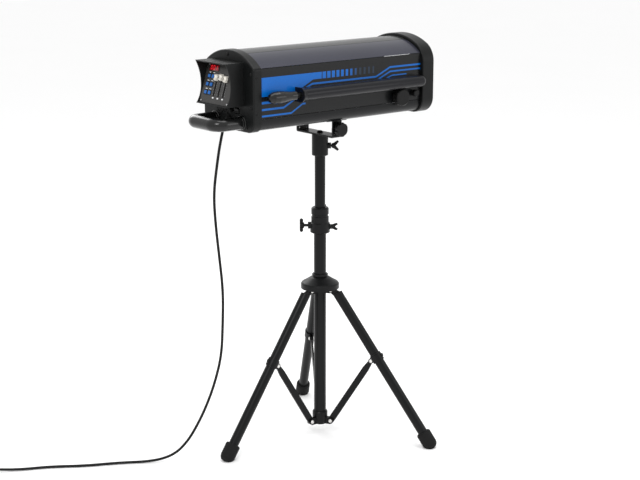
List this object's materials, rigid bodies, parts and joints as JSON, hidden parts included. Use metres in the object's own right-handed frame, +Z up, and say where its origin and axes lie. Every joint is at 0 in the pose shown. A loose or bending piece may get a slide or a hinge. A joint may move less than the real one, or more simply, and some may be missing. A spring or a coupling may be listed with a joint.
{
  "type": "follow spot",
  "caption": "Stage follow spot lamp with sliding focus rod, rear control panel and U handle, on a telescoping mast with a folding tripod.",
  "frame": {"origin": "on the floor, on the mast axis, midway between the three feet", "axes": "+Z up along the mast, +X the way the beam leaves the lamp at rest, the focus rail is on the -Y side"},
  "size_m": [1.3166, 0.7184, 1.1549],
  "materials": {
    "stand_black": "satin black powder coat",
    "stand_casting": "semi-gloss black casting",
    "bolt_black": "black moulded grips",
    "foot_rubber": "matte rubber",
    "cover_gloss": "gloss charcoal lacquer",
    "side_print": "satin black with printed blue bands",
    "casing_black": "semi-gloss black",
    "casing_cast": "semi-gloss black paint on cast and extruded aluminium",
    "lens_glass": "polished",
    "screw_zinc": "zinc plated",
    "grip_black": "moulded grip",
    "inner_aluminium": "mill finish",
    "control_plastic": "fine texture",
    "button_blue": "moulded",
    "fader_cream": "moulded",
    "cord_black": "matte sheath"
  },
  "bodies": {
    "stand": {"lower_mast_tube": "stand_black", "mast_spider": "stand_black", "mast_clamp_collar": "stand_casting"},
    "clamp_tee_bolt": {"mast_tee_bolt": "bolt_black"},
    "clamp_wing_bolt": {"mast_wing_bolt": "bolt_black"},
    "brace_1": {"brace_1": "stand_black"},
    "leg_1": {"leg_tube_1": "stand_black", "leg_fittings_1": "stand_black", "rubber_foot_1": "foot_rubber"},
    "brace_2": {"brace_2": "stand_black"},
    "leg_2": {"leg_tube_2": "stand_black", "leg_fittings_2": "stand_black", "rubber_foot_2": "foot_rubber"},
    "brace_3": {"brace_3": "stand_black"},
    "leg_3": {"leg_tube_3": "stand_black", "leg_fittings_3": "stand_black", "rubber_foot_3": "foot_rubber"},
    "hub": {"leg_hub": "stand_casting"},
    "upper_mast": {"upper_mast_tube": "stand_black"},
    "yoke_frame": {"stand_socket": "stand_casting", "yoke": "stand_black", "yoke_bolts": "bolt_black"},
    "socket_bolt": {"socket_wing_bolt": "bolt_black"},
    "tilt_lock": {"tilt_knob": "bolt_black"},
    "lamp": {"lamp_bracket": "stand_black", "bottom_tray": "casing_black", "side_panel_near": "side_print", "side_panel_far": "side_print", "shoulder_covers": "cover_gloss", "top_cover": "cover_gloss", "rear_cap": "casing_cast", "front_cap": "casing_cast", "front_lens": "lens_glass", "lens_retainer": "casing_cast", "casing_screws": "screw_zinc", "focus_rail": "casing_cast", "guide_rods": "inner_aluminium", "light_engine": "inner_aluminium", "control_box": "control_plastic", "control_panel": "control_plastic", "handle": "grip_black", "rear_connectors": "control_plastic", "strain_relief": "cord_black", "power_cord": "cord_black", "mains_plug": "cord_black"},
    "focus_slider": {"focus_rod": "grip_black", "zoom_carriage": "inner_aluminium"},
    "side_knob_body": {"side_knob": "bolt_black"},
    "fan": {"fan_rotor": "control_plastic"},
    "filter_wheel": {"color_wheel": "inner_aluminium"},
    "push_button_1": {"button_1": "button_blue"},
    "push_button_2": {"button_2": "button_blue"},
    "push_button_3": {"button_3": "button_blue"},
    "push_button_4": {"button_4": "button_blue"},
    "push_button_5": {"button_5": "button_blue"},
    "push_button_6": {"button_6": "button_blue"},
    "fader_1": {"fader_knob_1": "fader_cream"},
    "fader_2": {"fader_knob_2": "fader_cream"},
    "fader_3": {"fader_knob_3": "fader_cream"},
    "rocker": {"power_switch": "control_plastic"}
  },
  "joints": [
    {"name": "tripod_fold", "type": "hinge", "parent": "stand", "child": "brace_1", "pos_m": [0.017, 0.02944, 0.042], "axis": [0.866, -0.5, 0], "range_deg": [0, 28.5]},
    {"name": "leg_1_fold", "type": "hinge", "parent": "brace_1", "child": "leg_1", "pos_m": [0.07865, 0.13623, 0.24088], "axis": [0.866, -0.5, 0], "range_deg": [-57, 0]},
    {"name": "brace_2_fold", "type": "hinge", "parent": "stand", "child": "brace_2", "pos_m": [-0.034, 0, 0.042], "axis": [0, 1, 0], "range_deg": [0, 28.5]},
    {"name": "leg_2_fold", "type": "hinge", "parent": "brace_2", "child": "leg_2", "pos_m": [-0.15731, 0, 0.24088], "axis": [0, 1, 0], "range_deg": [-57, 0]},
    {"name": "brace_3_fold", "type": "hinge", "parent": "stand", "child": "brace_3", "pos_m": [0.017, -0.02944, 0.042], "axis": [-0.866, -0.5, 0], "range_deg": [0, 28.5]},
    {"name": "leg_3_fold", "type": "hinge", "parent": "brace_3", "child": "leg_3", "pos_m": [0.07865, -0.13623, 0.24088], "axis": [-0.866, -0.5, 0], "range_deg": [-57, 0]},
    {"name": "hub_slide_fold", "type": "hinge", "parent": "leg_1", "child": "hub", "pos_m": [0.017, 0.02944, 0.43975], "axis": [0.866, -0.5, 0], "range_deg": [0, 28.5]},
    {"name": "mast_height", "type": "slide", "parent": "stand", "child": "upper_mast", "axis": [0, 0, 1], "range_m": [-0.14, 0.3]},
    {"name": "tee_bolt_turn", "type": "hinge", "parent": "stand", "child": "clamp_tee_bolt", "pos_m": [-0.03109, 0.02517, 0.628], "axis": [-0.7771, 0.6293, 0], "range_deg": [0, 180]},
    {"name": "wing_bolt_turn", "type": "hinge", "parent": "stand", "child": "clamp_wing_bolt", "pos_m": [0.0272, -0.02203, 0.624], "axis": [0.7771, -0.6293, 0], "range_deg": [0, 180]},
    {"name": "pan", "type": "hinge", "parent": "upper_mast", "child": "yoke_frame", "pos_m": [0, 0, 0.86], "axis": [0, 0, 1], "range_deg": [-170, 170]},
    {"name": "socket_bolt_turn", "type": "hinge", "parent": "yoke_frame", "child": "socket_bolt", "pos_m": [0.0272, -0.02203, 0.858], "axis": [0.7771, -0.6293, 0], "range_deg": [0, 180]},
    {"name": "tilt_knob_turn", "type": "hinge", "parent": "yoke_frame", "child": "tilt_lock", "pos_m": [0, -0.09, 0.915], "axis": [0, -1, 0], "range_deg": [0, 270]},
    {"name": "tilt", "type": "hinge", "parent": "yoke_frame", "child": "lamp", "pos_m": [0, 0, 0.915], "axis": [0, 1, 0], "range_deg": [-45, 45], "deforming": ["power_cord"]},
    {"name": "focus_slide", "type": "slide", "parent": "lamp", "child": "focus_slider", "axis": [-1, 0, 0], "range_m": [0, 0.11]},
    {"name": "side_knob_turn", "type": "hinge", "parent": "lamp", "child": "side_knob_body", "pos_m": [0.192, -0.12, 0.991], "axis": [0, -1, 0], "range_deg": [0, 270]},
    {"name": "fan_spin", "type": "hinge", "parent": "lamp", "child": "fan", "pos_m": [-0.278, 0, 1.055], "axis": [1, 0, 0], "continuous": true},
    {"name": "color_wheel_turn", "type": "hinge", "parent": "lamp", "child": "filter_wheel", "pos_m": [-0.1268, 0, 1.012], "axis": [1, 0, 0], "continuous": true},
    {"name": "button_1_press", "type": "slide", "parent": "lamp", "child": "push_button_1", "axis": [0.9511, 0, -0.309], "range_m": [0, 0.001], "stiffness_N_per_m": 1500},
    {"name": "button_2_press", "type": "slide", "parent": "lamp", "child": "push_button_2", "axis": [0.9511, 0, -0.309], "range_m": [0, 0.001], "stiffness_N_per_m": 1500},
    {"name": "button_3_press", "type": "slide", "parent": "lamp", "child": "push_button_3", "axis": [0.9511, 0, -0.309], "range_m": [0, 0.001], "stiffness_N_per_m": 1500},
    {"name": "button_4_press", "type": "slide", "parent": "lamp", "child": "push_button_4", "axis": [0.9511, 0, -0.309], "range_m": [0, 0.001], "stiffness_N_per_m": 1500},
    {"name": "button_5_press", "type": "slide", "parent": "lamp", "child": "push_button_5", "axis": [0.9511, 0, -0.309], "range_m": [0, 0.001], "stiffness_N_per_m": 1500},
    {"name": "button_6_press", "type": "slide", "parent": "lamp", "child": "push_button_6", "axis": [0.9511, 0, -0.309], "range_m": [0, 0.001], "stiffness_N_per_m": 1500},
    {"name": "fader_1_slide", "type": "slide", "parent": "lamp", "child": "fader_1", "axis": [0.309, 0, 0.9511], "range_m": [-0.0445, 0.0045]},
    {"name": "fader_2_slide", "type": "slide", "parent": "lamp", "child": "fader_2", "axis": [0.309, 0, 0.9511], "range_m": [-0.0465, 0.0025]},
    {"name": "fader_3_slide", "type": "slide", "parent": "lamp", "child": "fader_3", "axis": [0.309, 0, 0.9511], "range_m": [-0.0435, 0.0055]},
    {"name": "power_switch_rock", "type": "hinge", "parent": "lamp", "child": "rocker", "pos_m": [-0.312, -0.038, 0.992], "axis": [0, 1, 0], "range_deg": [0, 16]}
  ],
  "couplings": [
    {"joint": "leg_1_fold", "follows": "tripod_fold", "ratio": -2},
    {"joint": "brace_2_fold", "follows": "tripod_fold", "ratio": 1},
    {"joint": "leg_2_fold", "follows": "tripod_fold", "ratio": -2},
    {"joint": "brace_3_fold", "follows": "tripod_fold", "ratio": 1},
    {"joint": "leg_3_fold", "follows": "tripod_fold", "ratio": -2},
    {"joint": "hub_slide_fold", "follows": "tripod_fold", "ratio": 1}
  ]
}
